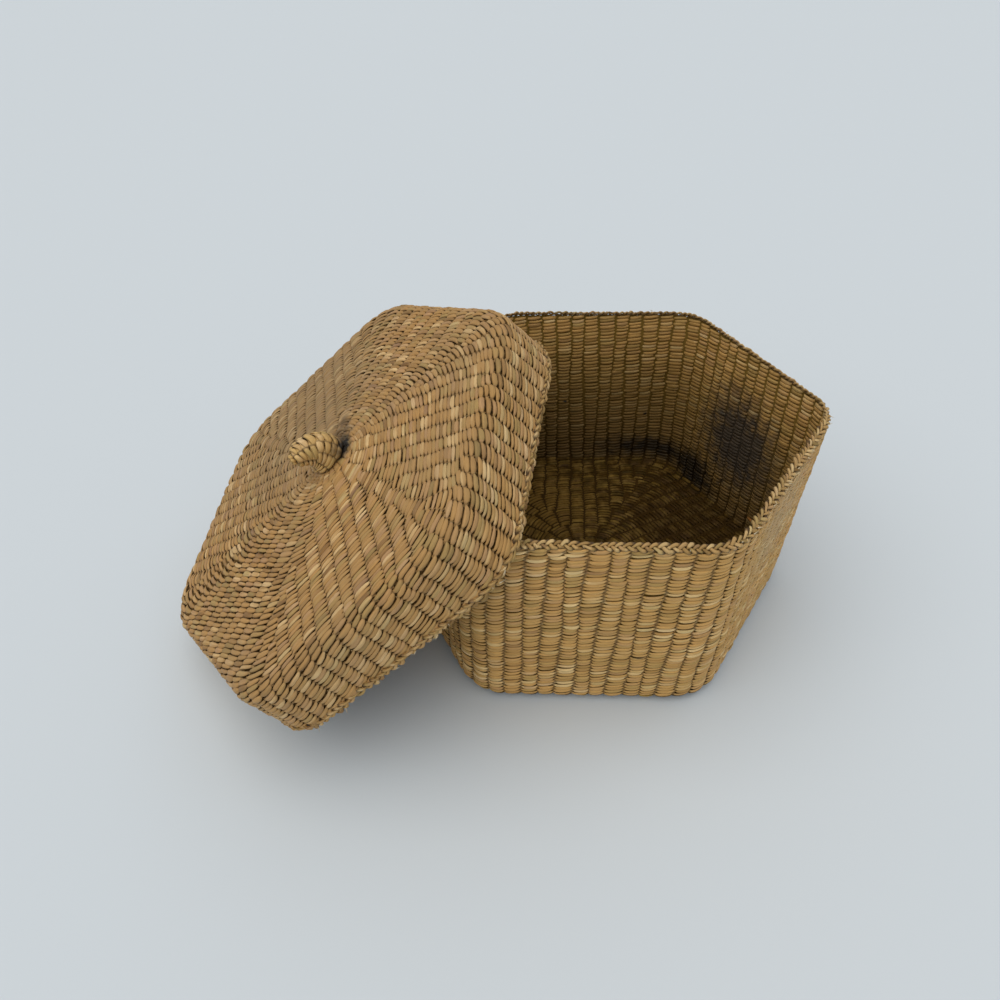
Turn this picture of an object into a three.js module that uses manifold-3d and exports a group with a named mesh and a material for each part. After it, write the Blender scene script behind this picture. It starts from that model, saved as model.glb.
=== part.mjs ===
// Hexagonal lidded basket of twined seagrass, its lid taken off and leaning on the left side.
// Millimetres, +Z up. The origin is the middle of the basket's underside, on the table.
import * as THREE from "three";
import Module from "manifold-3d";

const solids = await Module();
solids.setup();

// Driving sizes of the basket
const RIM_RADIUS = 100; // middle of the plait, out to a corner of the six
const FOOT_RADIUS = 98;
const PLAIT_HEIGHT = 95;
const RIM_CORNER = 21;
const FOOT_CORNER = 26;
const FOOT_ROUNDING = 6;
const FOOT_TWIST = 2; // degrees the hand-woven foot is turned against the rim
const RIM_SHIFT = 3.6; // sideways lean of the rim over the foot
const STAKES_PER_SIDE = 13;
const STAKE_SLANT = 0.06; // share of a side by which the wall's stakes lean from foot to rim

// Driving sizes of the lid
const SKIRT_DEPTH = 29;
const SKIRT_DRAFT = 1.2;
const LID_CORNER = 26;
const CROWN_CORNER = 32;
const SHOULDER_ROUNDING = 7;
const CROWN_RISE = 5.5;
const CROWN_CENTRE = [8.5, -3.7]; // the weaving began off the middle
const LID_STAKES_PER_SIDE = 15;

// Driving sizes of the fabric, shared by both
const FABRIC = 3.2; // thickness over the twined strands
const PLAIT_RADIUS = 2;
const STAKE_WIDTH = 3.2;
const STAKE_THICKNESS = 1.2;
const RIDGE_THICKNESS = 1.4; // the stakes laid first, along the six corners, are stouter
const RIDGE_WIDTH = 4.4;
const RIDGE_OVERLAP = 0.7; // how far short of a ridge's middle the others begin
const STAKE_CLEARANCE = 0.3;
const SEAT_GAP = 0.3;
const LID_CLEARANCE = 0.2; // play between the two plaits when the lid goes on

// Driving sizes of the knob
const KNOB_RADIUS = 8.5;
const KNOB_TIP_RADIUS = 3.8;
const KNOB_LENGTH = 18;
const KNOB_LEAN = 70; // degrees its tip has bent over
const KNOB_BEARING = 205; // compass direction of that bend about the lid's axis
const CORE_RADIUS = 4;
const CORE_HEIGHT = 6; // gathered stake ends standing over the crown

// Where the lid leans: a corner of its rim stands on the table, and its rim crosses the basket's
// rim, first on the front side
const LEAN_CROSSING = 31.4; // how far left of the front side's middle they cross
const LEAN_GAP = 0.6 * PLAIT_RADIUS; // from that crossing square to the plane of the lid's rim
const LEAN_RUN = 127.2; // from the crossing out to the corner on the table
const LEAN_ACROSS = -70.7; // and sideways
const LEAN_BEARING = 197.5; // direction the lid slopes down to
const LEAN_SPIN = 182.2;
const TABLE_GAP = 0.05;

const SIDES = 6;
const ARC_STEPS = 4;
const HALF_ANGLE = Math.PI / SIDES;
const APOTHEM = Math.cos(HALF_ANGLE);
const rad = THREE.MathUtils.degToRad;
const mix = THREE.MathUtils.lerp;

// A lid goes over the basket's own plait, so its size follows from the basket's.
const LID_RADIUS = RIM_RADIUS + (2 * PLAIT_RADIUS + LID_CLEARANCE) / APOTHEM;

// Closed surface through rings that all have the same number of points
function skin(rings, closing) {
  const count = rings[0].length;
  const corners = rings.flat();
  const faces = [];
  const bands = closing === "round" ? rings.length : rings.length - 1;
  for (let i = 0; i < bands; i++) {
    const a = i * count;
    const b = ((i + 1) % rings.length) * count;
    for (let j = 0; j < count; j++) {
      const k = (j + 1) % count;
      faces.push(a + j, a + k, b + k, a + j, b + k, b + j);
    }
  }
  if (count === 3) {
    const end = bands * count;
    faces.push(2, 1, 0, end, end + 1, end + 2);
  } else if (closing !== "round") {
    for (const [start, turned] of [[0, true], [bands * count, false]]) {
      const middle = new THREE.Vector3();
      for (let j = 0; j < count; j++) middle.addScaledVector(corners[start + j], 1 / count);
      const hub = corners.push(middle) - 1;
      for (let j = 0; j < count; j++) {
        const k = (j + 1) % count;
        if (turned) faces.push(hub, start + k, start + j);
        else faces.push(hub, start + j, start + k);
      }
    }
  }
  const shape = new THREE.BufferGeometry().setFromPoints(corners);
  shape.setIndex(faces);
  return shape;
}

function toSolid(shape) {
  const verts = new Float32Array(shape.getAttribute("position").array);
  const made = new solids.Manifold(
    new solids.Mesh({ numProp: 3, vertProperties: verts, triVerts: new Uint32Array(shape.index.array) }),
  );
  if (made.volume() < 0) throw new Error("a surface faces inwards");
  return made;
}

function toShape(solid) {
  const mesh = solid.getMesh();
  const places = [];
  for (let i = 0; i < mesh.numVert; i++) {
    places.push(new THREE.Vector3().fromArray(mesh.vertProperties, i * mesh.numProp));
  }
  const shape = new THREE.BufferGeometry().setFromPoints(places);
  shape.setIndex(new THREE.BufferAttribute(new Uint32Array(mesh.triVerts), 1));
  shape.computeVertexNormals();
  return shape;
}

function crownSlope(bowl) {
  return Math.atan2(bowl.sag, bowl.footRadius * APOTHEM - bowl.rounding);
}

// One stop on the way from the floor up the wall: how far in from the wall line, how high, and
// the direction that points out of the fabric there.
function stations(bowl) {
  const bend = bowl.rounding - FABRIC / 2;
  const slope = crownSlope(bowl);
  const list = [];
  for (let i = 0; i <= bowl.bendSteps; i++) {
    const angle = mix(Math.PI / 2 - slope, 0, i / bowl.bendSteps);
    list.push({
      inset: bend * (1 - Math.cos(angle)),
      height: FABRIC / 2 + bend * (1 - Math.sin(angle)),
      out: Math.cos(angle),
      up: -Math.sin(angle),
    });
  }
  list.push({ inset: 0, height: bowl.wallTop, out: 1, up: 0 });
  return list;
}

// A stake turns from floor to wall in two bends, halfway between inside and outside of the curve.
function stakeStations(bowl) {
  const bend = bowl.rounding - FABRIC / 2;
  const floor = Math.PI / 2 - crownSlope(bowl);
  const half = floor / 2;
  const past = (bend * (0.96 - Math.cos(half))) / Math.sin(half);
  const stop = (angle, lean, along) => ({
    inset: bend * (1 - Math.cos(angle)) - along * Math.sin(angle),
    height: FABRIC / 2 + bend * (1 - Math.sin(angle)) + along * Math.cos(angle),
    out: Math.cos(lean),
    up: -Math.sin(lean),
  });
  return [
    stop(floor, 1.5 * half, past),
    stop(0, 0.5 * half, -past),
    { inset: 0, height: bowl.wallTop, out: 1, up: 0 },
  ];
}

// Size and place of the six-sided outline at a station, moved along the fabric's outward direction
function outline(bowl, stop, offset) {
  const height = stop.height + stop.up * offset;
  const share = THREE.MathUtils.clamp(stop.height / bowl.wallTop, 0, 1);
  const inset = stop.inset - stop.out * offset;
  return {
    radius: mix(bowl.footRadius, bowl.rimRadius, share) - inset / APOTHEM,
    corner: Math.max(mix(bowl.footCorner, bowl.rimCorner, share) - inset, 2),
    height,
    turn: rad(bowl.twist) * (1 - share),
    shift: bowl.shift * share,
  };
}

// Point on the outline: side number, share of the way along it, and a step outwards
function onSide(line, side, share) {
  const straight = line.radius - 2 * line.corner * Math.tan(HALF_ANGLE);
  const along = (share - 0.5) * (straight + 2 * line.corner * HALF_ANGLE);
  const past = Math.max(Math.abs(along) - straight / 2, 0);
  const swing = (past / line.corner) * Math.sign(along);
  const across = along - Math.sign(along) * past + line.corner * Math.sin(swing);
  const reach = line.radius * APOTHEM - line.corner * (1 - Math.cos(swing));
  const facing = (2 * side + 1) * HALF_ANGLE;
  const place = new THREE.Vector2(reach, across).rotateAround(new THREE.Vector2(), facing + line.turn);
  place.x += line.shift;
  return { place, facing: facing + swing + line.turn, reach, across };
}

function ring(line) {
  const points = [];
  const straight = line.radius - 2 * line.corner * Math.tan(HALF_ANGLE);
  const arc = line.corner * HALF_ANGLE;
  const bend = arc / (straight + 2 * arc);
  for (let side = 0; side < SIDES; side++) {
    for (let i = 0; i <= ARC_STEPS; i++) {
      const share = 1 - bend + (2 * bend * i) / ARC_STEPS;
      const { place } = share <= 1 ? onSide(line, side, share) : onSide(line, side + 1, share - 1);
      points.push(new THREE.Vector3(place.x, place.y, line.height));
    }
  }
  return points;
}

function crownPoint(bowl, height) {
  return new THREE.Vector3(bowl.centre[0], bowl.centre[1], height);
}

// Woven fabric of a whole bowl, before its stakes are let in
function fabric(bowl) {
  const stops = stations(bowl);
  const under = stops.map((stop) => ring(outline(bowl, stop, FABRIC / 2)));
  const inside = stops.map((stop) => ring(outline(bowl, stop, -FABRIC / 2))).reverse();
  const small = (from, height) => from.map((p) => p.clone().lerp(crownPoint(bowl, height), 0.96));
  const first = small(under[0], -bowl.sag);
  const last = small(inside[inside.length - 1], FABRIC - bowl.sag);
  return skin([first, ...under, ...inside, last]);
}

// Split stem along a path, flat inside and ridged outside, grown all round by the play it gets;
// each stop gives its middle, its width direction and its outward direction.
function splitStem(stops, width, thickness, grow) {
  const half = width / 2;
  const slant = Math.hypot(thickness, half);
  const flat = -thickness / 2 - grow;
  const ridge = thickness / 2 + (grow * slant) / half;
  const edge = half + (grow * (slant + half)) / thickness;
  const corners = [[0, ridge], [edge, flat], [-edge, flat]];
  const rings = stops.map(({ at, wide, out }) =>
    corners.map(([a, b]) => at.clone().addScaledVector(wide, a).addScaledVector(out, b)),
  );
  return skin(rings);
}

// One stake, from the ridge it starts on, across the floor, round the foot and up to the plait
function stake(bowl, side, share, grow, top) {
  const stops = stakeStations(bowl);
  stops[stops.length - 1].height = top;
  const path = stops.map((stop, i) => {
    const line = outline(bowl, stop, 0);
    const along = share + (i === stops.length - 1 ? bowl.slant : 0);
    const { place, facing } = onSide(line, side + Math.floor(along), along % 1);
    const level = new THREE.Vector3(Math.cos(facing), Math.sin(facing), 0);
    return {
      at: new THREE.Vector3(place.x, place.y, line.height),
      wide: new THREE.Vector3(-level.y, level.x, 0),
      out: level.multiplyScalar(stop.out).add(new THREE.Vector3(0, 0, stop.up)).normalize(),
    };
  });
  const onRidge = share === 0;
  const foot = path[0];
  const slope = crownSlope(bowl);
  const level = new THREE.Vector3(-foot.wide.y, foot.wide.x, 0).negate();
  const below = level.multiplyScalar(Math.sin(slope)).add(new THREE.Vector3(0, 0, -Math.cos(slope)));
  const hub = crownPoint(bowl, FABRIC / 2 - bowl.sag);
  let start = hub;
  if (!onRidge) {
    const facing = (2 * side + 1) * HALF_ANGLE + rad(bowl.twist);
    const sideways = new THREE.Vector3(-Math.sin(facing), Math.cos(facing), 0);
    const outward = new THREE.Vector3(Math.cos(facing), Math.sin(facing), 0);
    const first = outline(bowl, stops[0], 0);
    const near = [0, 1].map((end) => onSide(first, side, end).place);
    const wanted = foot.at.dot(sideways);
    const middle = hub.dot(sideways);
    const corner = near[wanted > middle ? 1 : 0];
    const tip = new THREE.Vector3(corner.x, corner.y, foot.at.z);
    const run = (wanted - middle) / (tip.dot(sideways) - middle);
    start = hub.clone().lerp(tip, run).addScaledVector(outward, RIDGE_OVERLAP);
    path.unshift({ at: start, wide: sideways, out: below });
    if (foot.at.clone().sub(start).dot(outward) < 1) path.splice(1, 1);
  } else {
    path.unshift({ at: start, wide: foot.wide, out: below });
  }
  const width = onRidge ? RIDGE_WIDTH : STAKE_WIDTH;
  const thickness = onRidge ? RIDGE_THICKNESS : STAKE_THICKNESS;
  return toSolid(splitStem(path, width, thickness, grow));
}

// All stakes of a bowl as the one starlike frame that the weaver sets up first
function stakes(bowl, grow, top) {
  const all = [];
  for (let side = 0; side < SIDES; side++) {
    for (let i = 0; i < bowl.stakesPerSide; i++) {
      all.push(stake(bowl, side, i / bowl.stakesPerSide, grow, top));
    }
  }
  return solids.Manifold.union(all);
}

function plait(bowl) {
  const rings = [];
  for (let i = 0; i < 6; i++) {
    const angle = (i / 6) * Math.PI * 2;
    const stop = { inset: 0, height: bowl.plaitHeight, out: 1, up: 0 };
    const line = outline({ ...bowl, wallTop: bowl.plaitHeight }, stop, PLAIT_RADIUS * Math.cos(angle));
    line.height += PLAIT_RADIUS * Math.sin(angle);
    rings.push(ring(line));
  }
  return skin(rings, "round");
}

// Six-sided bowl descriptions: the lid is woven the same way, upside down
const basketBowl = {
  footRadius: FOOT_RADIUS - FABRIC / 2 / APOTHEM,
  rimRadius: RIM_RADIUS,
  footCorner: FOOT_CORNER - FABRIC / 2,
  rimCorner: RIM_CORNER,
  rounding: FOOT_ROUNDING,
  bendSteps: 3,
  sag: 0,
  centre: [0, 0],
  twist: FOOT_TWIST,
  shift: RIM_SHIFT,
  plaitHeight: PLAIT_HEIGHT,
  wallTop: PLAIT_HEIGHT - PLAIT_RADIUS - SEAT_GAP,
  stakesPerSide: STAKES_PER_SIDE,
  slant: STAKE_SLANT,
};
const lidBowl = {
  footRadius: LID_RADIUS - SKIRT_DRAFT,
  rimRadius: LID_RADIUS,
  footCorner: CROWN_CORNER,
  rimCorner: LID_CORNER,
  rounding: SHOULDER_ROUNDING,
  bendSteps: 4,
  sag: CROWN_RISE,
  centre: [CROWN_CENTRE[0], -CROWN_CENTRE[1]],
  twist: 0,
  shift: 0,
  plaitHeight: SKIRT_DEPTH,
  wallTop: SKIRT_DEPTH - PLAIT_RADIUS - SEAT_GAP,
  stakesPerSide: LID_STAKES_PER_SIDE,
  slant: 0,
};

// Upright post of gathered stake ends under the knob, in the lid's upside-down frame
function core(radius, length) {
  const shape = new THREE.CylinderGeometry(radius, radius, length + FABRIC / 2, 16);
  shape.deleteAttribute("normal");
  shape.deleteAttribute("uv");
  shape.rotateX(Math.PI / 2);
  shape.translate(lidBowl.centre[0], lidBowl.centre[1], (FABRIC / 2 - length) / 2 - CROWN_RISE);
  return shape;
}

function merged(shape) {
  const seen = new Map();
  const places = [];
  const at = shape.getAttribute("position");
  const index = Array.from(shape.index.array, (i) => {
    const p = new THREE.Vector3().fromBufferAttribute(at, i);
    const key = p.toArray().map((v) => v.toFixed(4)).join();
    if (!seen.has(key)) seen.set(key, places.push(p) - 1);
    return seen.get(key);
  });
  const faces = [];
  for (let i = 0; i < index.length; i += 3) {
    const [a, b, c] = index.slice(i, i + 3);
    if (a !== b && b !== c && a !== c) faces.push(a, b, c);
  }
  return new THREE.BufferGeometry().setFromPoints(places).setIndex(faces);
}

// Knob: rings along a stem that bends over, round a bore for the core
function knob() {
  const sections = 9;
  const count = 16;
  const lean = rad(KNOB_LEAN);
  const bearing = -rad(KNOB_BEARING);
  const over = new THREE.Vector3(Math.cos(bearing), Math.sin(bearing), 0);
  const across = new THREE.Vector3(-over.y, over.x, 0);
  const down = new THREE.Vector3(0, 0, -1);
  const base = crownPoint(lidBowl, -CROWN_RISE - SEAT_GAP);
  const slope = CROWN_RISE / (LID_RADIUS * APOTHEM);
  const circle = (middle, radius, angle, lift) => {
    const side = over.clone().multiplyScalar(Math.cos(angle)).addScaledVector(down, -Math.sin(angle));
    return Array.from({ length: count }, (_, j) => {
      const turn = (-j / count) * Math.PI * 2;
      return middle
        .clone()
        .addScaledVector(side, radius * Math.cos(turn))
        .addScaledVector(across, radius * Math.sin(turn))
        .addScaledVector(down, -lift);
    });
  };
  const bore = CORE_RADIUS + STAKE_CLEARANCE;
  const deep = CORE_HEIGHT - SEAT_GAP + STAKE_CLEARANCE;
  const rings = [
    circle(base.clone().addScaledVector(down, deep), bore, 0, 0),
    circle(base, bore, 0, slope * bore),
    circle(base, KNOB_RADIUS - 1, 0, slope * (KNOB_RADIUS - 1)),
  ];
  let middle = base.clone();
  const step = KNOB_LENGTH / sections;
  for (let i = 0; i <= sections; i++) {
    const share = i / sections;
    const angle = lean * THREE.MathUtils.smoothstep(share, 0, 0.85);
    const belly = Math.sin(Math.PI * Math.min(share * 1.3, 1)) * 0.5;
    const end = Math.sqrt(Math.max(1 - (Math.max(share - 0.8, 0) / 0.2) ** 2, 0.04));
    const radius = (mix(KNOB_RADIUS, KNOB_TIP_RADIUS, share ** 1.2) + belly) * end;
    if (i > 0) {
      middle.addScaledVector(down, step * Math.cos(angle)).addScaledVector(over, step * Math.sin(angle));
    }
    rings.push(circle(middle, radius, angle, i === 0 ? -0.8 : 0));
  }
  return skin(rings);
}

const seagrass = (color) => new THREE.MeshStandardMaterial({ color, roughness: 0.82, metalness: 0 });
const straw = {
  wall: seagrass(0xb08d58),
  stake: seagrass(0x94743f),
  plait: seagrass(0xc09c63),
  lid: seagrass(0xb8945c),
  knob: seagrass(0xb5925b),
};

function add(group, name, shape, material) {
  const mesh = new THREE.Mesh(shape, material);
  mesh.name = name;
  group.add(mesh);
}

const basket = new THREE.Group();
basket.name = "basket";
const basketFrame = stakes(basketBowl, 0, basketBowl.wallTop);
const basketChannels = stakes(basketBowl, STAKE_CLEARANCE, basketBowl.wallTop + 1);
const basketFabric = toSolid(fabric(basketBowl)).subtract(basketChannels);
add(basket, "basket_weave", toShape(basketFabric), straw.wall);
add(basket, "basket_stakes", toShape(basketFrame), straw.stake);
add(basket, "basket_rim_plait", plait(basketBowl), straw.plait);

const post = toSolid(merged(core(CORE_RADIUS, CORE_HEIGHT)));
const postHole = toSolid(merged(core(CORE_RADIUS + STAKE_CLEARANCE, CORE_HEIGHT + 1)));
const lidFrame = stakes(lidBowl, 0, lidBowl.wallTop).add(post);
const lidChannels = stakes(lidBowl, STAKE_CLEARANCE, lidBowl.wallTop + 1).add(postHole);
const lidFabric = toSolid(fabric(lidBowl)).subtract(lidChannels);
const turned = new THREE.Group(); // upside down, so its floor becomes the crown
turned.rotation.x = Math.PI;
turned.position.z = SKIRT_DEPTH;
add(turned, "lid_weave", toShape(lidFabric), straw.lid);
add(turned, "lid_stakes", toShape(lidFrame), straw.stake);
add(turned, "lid_rim_plait", plait(lidBowl), straw.plait);
add(turned, "lid_knob", knob(), straw.knob);

const lid = new THREE.Group();
lid.name = "lid";
lid.rotation.order = "ZYX";
const crossing = new THREE.Vector3(RIM_SHIFT - LEAN_CROSSING, -RIM_RADIUS * APOTHEM, PLAIT_HEIGHT);
const rise = PLAIT_HEIGHT - PLAIT_RADIUS - TABLE_GAP;
const tilt = Math.atan2(rise, LEAN_RUN) + Math.asin(LEAN_GAP / Math.hypot(rise, LEAN_RUN));
const lean = new THREE.Matrix4()
  .makeRotationZ(rad(LEAN_BEARING))
  .multiply(new THREE.Matrix4().makeRotationY(tilt))
  .multiply(new THREE.Matrix4().makeRotationZ(rad(LEAN_SPIN)));
lid.rotation.setFromRotationMatrix(lean);
const downhill = new THREE.Vector3(Math.cos(rad(LEAN_BEARING)), Math.sin(rad(LEAN_BEARING)), 0);
const sideways = new THREE.Vector3(-downhill.y, downhill.x, 0);
const foot = crossing.clone().addScaledVector(downhill, LEAN_RUN).addScaledVector(sideways, LEAN_ACROSS);
foot.z -= rise;
const slide = downhill.clone().multiplyScalar(Math.cos(tilt)).setZ(-Math.sin(tilt));
const cornerMiddle = new THREE.Vector3(LID_CORNER / APOTHEM - LID_RADIUS, 0, 0).applyMatrix4(lean);
lid.position.copy(foot).addScaledVector(slide, -LID_CORNER).sub(cornerMiddle);
lid.add(turned);

const part = new THREE.Group();
part.name = "seagrass_basket";
part.add(basket, lid);

export default part;
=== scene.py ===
# %% [markdown]
# # A lidded basket of twined seagrass
#
# The basket is six-sided and woven by hand. Its lid is off and leans on the left side. The solid
# shapes come from a imported model, and this lesson gives them the weave that makes them look like
# grass: strands twined row by row round the stakes, plaited rims and a small woven knob.
#
# The imported model is loaded first.

# %% Load the solid model
import math
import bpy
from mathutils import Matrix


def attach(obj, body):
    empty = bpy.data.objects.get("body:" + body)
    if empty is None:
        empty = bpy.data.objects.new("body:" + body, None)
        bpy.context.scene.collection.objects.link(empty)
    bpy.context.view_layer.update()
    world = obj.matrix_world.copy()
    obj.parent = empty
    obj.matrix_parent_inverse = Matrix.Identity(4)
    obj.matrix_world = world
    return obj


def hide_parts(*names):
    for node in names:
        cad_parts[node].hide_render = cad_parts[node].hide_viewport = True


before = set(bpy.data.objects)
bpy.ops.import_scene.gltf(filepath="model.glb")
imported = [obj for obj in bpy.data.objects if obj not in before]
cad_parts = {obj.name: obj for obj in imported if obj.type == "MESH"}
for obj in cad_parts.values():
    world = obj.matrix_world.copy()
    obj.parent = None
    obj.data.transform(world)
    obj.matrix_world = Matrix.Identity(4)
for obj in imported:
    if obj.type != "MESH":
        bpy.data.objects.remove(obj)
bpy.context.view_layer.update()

from types import SimpleNamespace

import bmesh
import bpy
import numpy as np
from mathutils import Matrix, Vector

# %% [markdown]
# ## Camera
#
# The photograph looks down at the basket from the front, a little from the right. A camera can be
# placed by eye, but here its place and its three directions were measured from the picture, so
# they are set as one matrix. Its columns are the camera's right, its up, and the way behind it.

# %% Camera
def facing_matrix(place, right, up, ahead):
    """Matrix of a camera at a place in millimetres, with its three directions."""
    columns = [Vector(right), Vector(up), -Vector(ahead), Vector(place) / 1000]
    return Matrix([[column[row] for column in columns] for row in range(3)]).to_4x4()


lens = bpy.data.cameras.new("camera")
lens.sensor_width = 36
lens.lens = 28.8  # the picture is 1000 pixels wide and its perspective 800 pixels deep
camera = bpy.data.objects.new("camera", lens)
bpy.context.scene.collection.objects.link(camera)
camera.matrix_world = facing_matrix(
    place=(0.56, -292.64, 293.17),
    right=(0.993906, 0.097206, -0.051970),
    up=(-0.023994, 0.650973, 0.758722),
    ahead=(-0.107584, 0.752852, -0.649338),
)
bpy.context.scene.camera = camera
print("camera", [round(v, 3) for v in camera.location])

# %% [markdown]
# ## Colours and nodes
#
# Colours are written as they would be picked from a picture, as sRGB hex values, and Blender
# counts in linear light, so one function turns them. A second one adds a shader node, sets its
# options and fills its inputs, each with a number or with another node's output.

# %% Helpers for materials
def linear(code):
    """Linear red, green and blue, with an alpha of one, from an sRGB hex value."""
    parts = [int(code[i : i + 2], 16) / 255 for i in (1, 3, 5)]
    return [*(p / 12.92 if p <= 0.04045 else ((p + 0.055) / 1.055) ** 2.4 for p in parts), 1]


def add(tree, kind, inputs, **options):
    """Adds one shader node, sets its options, and fills its inputs or links them."""
    made = tree.nodes.new("ShaderNode" + kind)
    for name, value in options.items():
        setattr(made, name, value)
    for name, value in inputs.items():
        if isinstance(value, bpy.types.NodeSocket):
            tree.links.new(value, made.inputs[name])
        else:
            made.inputs[name].default_value = value
    return made


def new_material(name):
    """A named material with nodes, and its tree."""
    material = bpy.data.materials.new(name)
    material.use_nodes = True
    return material, material.node_tree


print("straw", [round(v, 3) for v in linear("#b08d58")[:3]])

# %% [markdown]
# ## Table and light
#
# The basket stands on a pale, slightly blue table under soft light from above, and its shadow
# falls a little to the right. A wide lamp overhead gives that shadow its soft edge, a weaker one
# lights the far side, and an even pale sky fills the rest, at a level where a colour looks as it
# was written.

# %% Table
TABLE_REACH = 3  # metres from the middle to a side
TABLE_DROP = 0.0002  # metres under the basket, so that the two never share a plane


def pale_table():
    """Plain floor of the scene, which isn't part of the object."""
    sheet = bmesh.new()
    bmesh.ops.create_grid(sheet, x_segments=1, y_segments=1, size=TABLE_REACH)
    mesh = bpy.data.meshes.new("table")
    sheet.to_mesh(mesh)
    sheet.free()
    table = bpy.data.objects.new("table", mesh)
    table.location.z = -TABLE_DROP
    bpy.context.scene.collection.objects.link(table)
    # matt paint: no shine, so the floor stays even and keeps only the shadow
    paint, tree = new_material("matt_white_table")
    shader = tree.nodes["Principled BSDF"]
    shader.inputs["Base Color"].default_value = linear("#ccd3d8")
    shader.inputs["Roughness"].default_value = 0.9
    shader.inputs["Specular IOR Level"].default_value = 0.1
    mesh.materials.append(paint)


pale_table()
print("table", 2 * TABLE_REACH, "metres wide")

# %% Light
def soft_sun(name, bearing, height, spread, strength, colour):
    """Even light from one side of the sky; spread is how wide the bright part is, in degrees."""
    light = bpy.data.lights.new(name, "SUN")
    light.energy = strength
    light.angle = math.radians(spread)
    light.color = linear(colour)[:3]
    sun = bpy.data.objects.new(name, light)
    sun.rotation_euler = (math.radians(90 - height), 0, math.radians(bearing + 90))
    bpy.context.scene.collection.objects.link(sun)


soft_sun("overhead", bearing=-125, height=68, spread=80, strength=1.6, colour="#fff8ee")
soft_sun("window", bearing=60, height=60, spread=80, strength=0.35, colour="#f4f8ff")

sky = bpy.data.worlds.new("sky")
bpy.context.scene.world = sky
sky.use_nodes = True
sky.node_tree.nodes["Background"].inputs["Color"].default_value = linear("#eaf0f6")
sky.node_tree.nodes["Background"].inputs["Strength"].default_value = 0.55
bpy.context.scene.view_settings.view_transform = "Standard"

# %% [markdown]
# ## The shape that the weave follows
#
# Basket and lid are the same kind of bowl: a six-sided floor, a rounded foot and a wall. The lid
# is woven upside down. The weave is laid on the middle of the fabric, so a function is needed
# that gives, for a distance from the hub and a place on the way round, the point there, the
# direction out of the fabric and the direction up along it. All sizes are in millimetres and are
# those of the solid model.

# %% Sizes
SIDES = 6
HALF = math.pi / SIDES
APOTHEM = math.cos(HALF)
FABRIC = 3.2  # thickness over the twined strands
PLAIT_RADIUS = 2
SEAT_GAP = 0.3  # from the last row to the plait
LID_CLEARANCE = 0.2
RIM_RADIUS = 100
RIM_SHIFT = 3.6  # sideways lean of the rim over the foot
PLAIT_HEIGHT = 95
LID_RADIUS = RIM_RADIUS + (2 * PLAIT_RADIUS + LID_CLEARANCE) / APOTHEM
LID_CORNER = 26
SKIRT_DEPTH = 29
CROWN_RISE = 5.5
CROWN_CENTRE = (8.5, -3.7)  # the weaving began off the middle
print("lid's radius to a corner", round(LID_RADIUS, 2), "mm")

# %% Two bowls
basket_bowl = SimpleNamespace(
    foot_radius=98 - FABRIC / 2 / APOTHEM,
    rim_radius=RIM_RADIUS,
    foot_corner=26 - FABRIC / 2,
    rim_corner=21,
    rounding=6,
    sag=0,
    centre=np.array([0, 0]),
    twist=math.radians(2),
    shift=RIM_SHIFT,
    wall_top=PLAIT_HEIGHT - PLAIT_RADIUS - SEAT_GAP,
    plait_height=PLAIT_HEIGHT,
    stakes=13,
    slant=0.06,
)
lid_bowl = SimpleNamespace(
    foot_radius=LID_RADIUS - 1.2,
    rim_radius=LID_RADIUS,
    foot_corner=32,
    rim_corner=LID_CORNER,
    rounding=7,
    sag=CROWN_RISE,
    centre=np.array([CROWN_CENTRE[0], -CROWN_CENTRE[1]]),
    twist=0,
    shift=0,
    wall_top=SKIRT_DEPTH - PLAIT_RADIUS - SEAT_GAP,
    plait_height=SKIRT_DEPTH,
    stakes=15,
    slant=0,
)
print("wall and skirt reach", basket_bowl.wall_top, "and", lid_bowl.wall_top, "mm")

# %% [markdown]
# ## Where the fabric is
#
# A hexagon with round corners is simple to follow: along a side the place moves straight, and past
# the side's end it swings round the corner. Up the wall and over the foot the same is done with
# the distance from the hub, so two numbers give any place on the fabric. Rows are nearly round at
# the hub and six-sided at the foot.

# %% Where the fabric is
NEARLY_ROUND = 0.97  # how close the row at the hub comes to a circle
LOSES_ROUNDNESS = 0.8  # below one, rows stay round longer on their way out


def stop_on_the_way(bowl, run):
    """Where the fabric is, run millimetres from the hub along the middle of a side."""
    bend = bowl.rounding - FABRIC / 2
    slope = math.atan2(bowl.sag, bowl.foot_radius * APOTHEM - bowl.rounding)
    angle = math.pi / 2 - slope
    floor = (bowl.foot_radius * APOTHEM - bend * (1 - math.cos(angle))) / math.cos(slope)
    share = min(run / floor, 1)
    climb = max(run - floor - bend * angle, 0)
    if run > floor:
        angle = max(angle - (run - floor) / bend, 0)
    height = FABRIC / 2 + bend * (1 - math.sin(angle)) + climb
    inset = bend * (1 - math.cos(angle))
    rise = min(height / bowl.wall_top, 1)
    radius = bowl.foot_radius + (bowl.rim_radius - bowl.foot_radius) * rise - inset / APOTHEM
    corner = bowl.foot_corner + (bowl.rim_corner - bowl.foot_corner) * rise - inset
    roundness = max(1 - share, 0) ** LOSES_ROUNDNESS
    return SimpleNamespace(
        share=share,
        height=height,
        angle=angle,
        radius=radius,
        corner=corner + (NEARLY_ROUND * radius * APOTHEM - corner) * roundness,
        turn=bowl.twist * (1 - rise),
        shift=bowl.shift * rise,
    )


print("foot of the wall, height", round(stop_on_the_way(basket_bowl, 90).height, 2), "mm")

# %% [markdown]
# ## A point of the fabric
#
# The first function says how far out and how high a row lies. This one goes round it: it gives the
# points at many places of the row at once, and at each the direction out of the fabric, where a
# strand passes over a stake, and the direction up along it, where the next row follows.

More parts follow.
